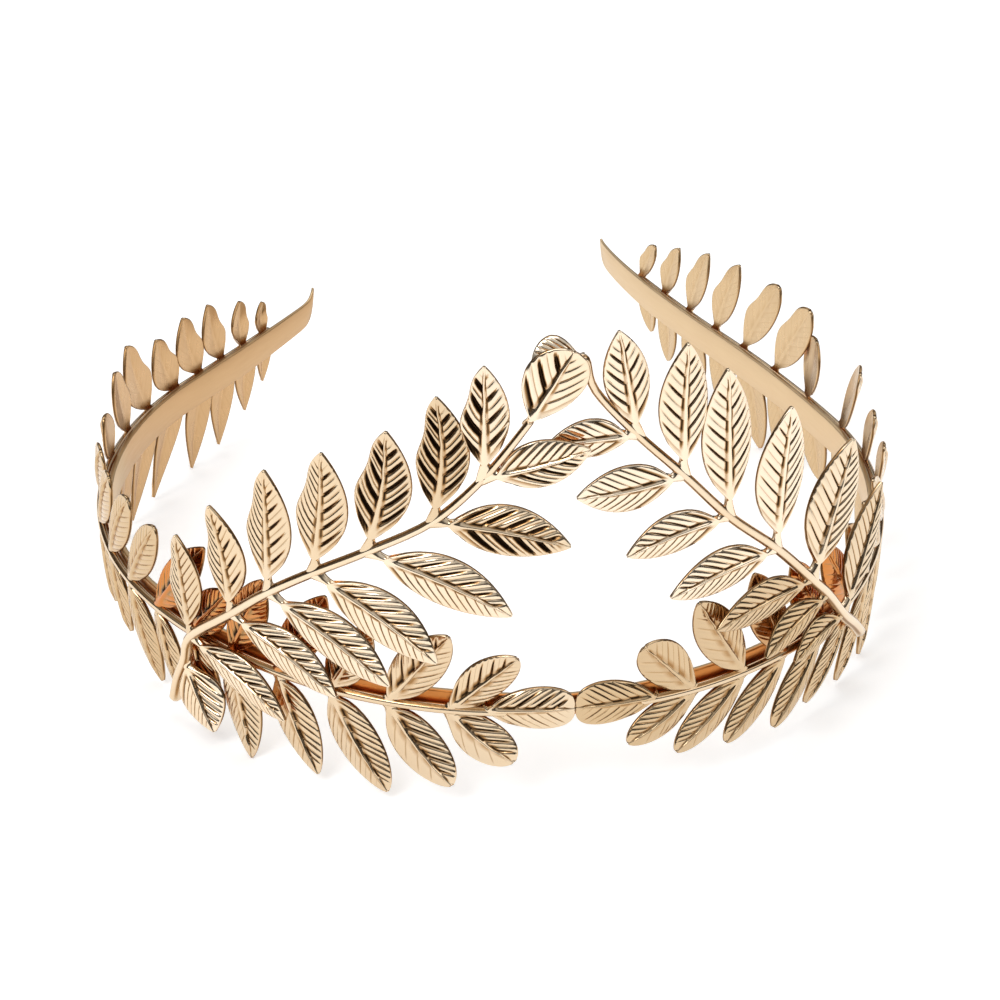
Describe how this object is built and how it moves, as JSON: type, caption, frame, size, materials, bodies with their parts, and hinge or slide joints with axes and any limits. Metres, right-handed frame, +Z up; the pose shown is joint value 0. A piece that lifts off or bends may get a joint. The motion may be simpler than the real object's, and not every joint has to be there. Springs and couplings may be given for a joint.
{
  "type": "laurel leaf tiara",
  "caption": "Gold open headband tiara with leafy laurel branches along the band and raised leaf sprays that cross over the front.",
  "frame": {"origin": "middle of the whole tiara's width and depth, at the height of the lowest leaf tips, on which it stands", "axes": "+Z up; -Y towards the front, where the sprays cross; +X to the right as seen from the front"},
  "size_m": [0.1409, 0.1761, 0.0858],
  "materials": {
    "band_gold": "satin pale gold plating",
    "leaf_gold": "polished pale rose gold plating with embossed veins"
  },
  "bodies": {
    "root": {"headband": "band_gold", "base_branch_left": "leaf_gold", "base_branch_right": "leaf_gold", "upper_spray_left": "leaf_gold", "upper_spray_right": "leaf_gold"}
  },
  "joints": []
}
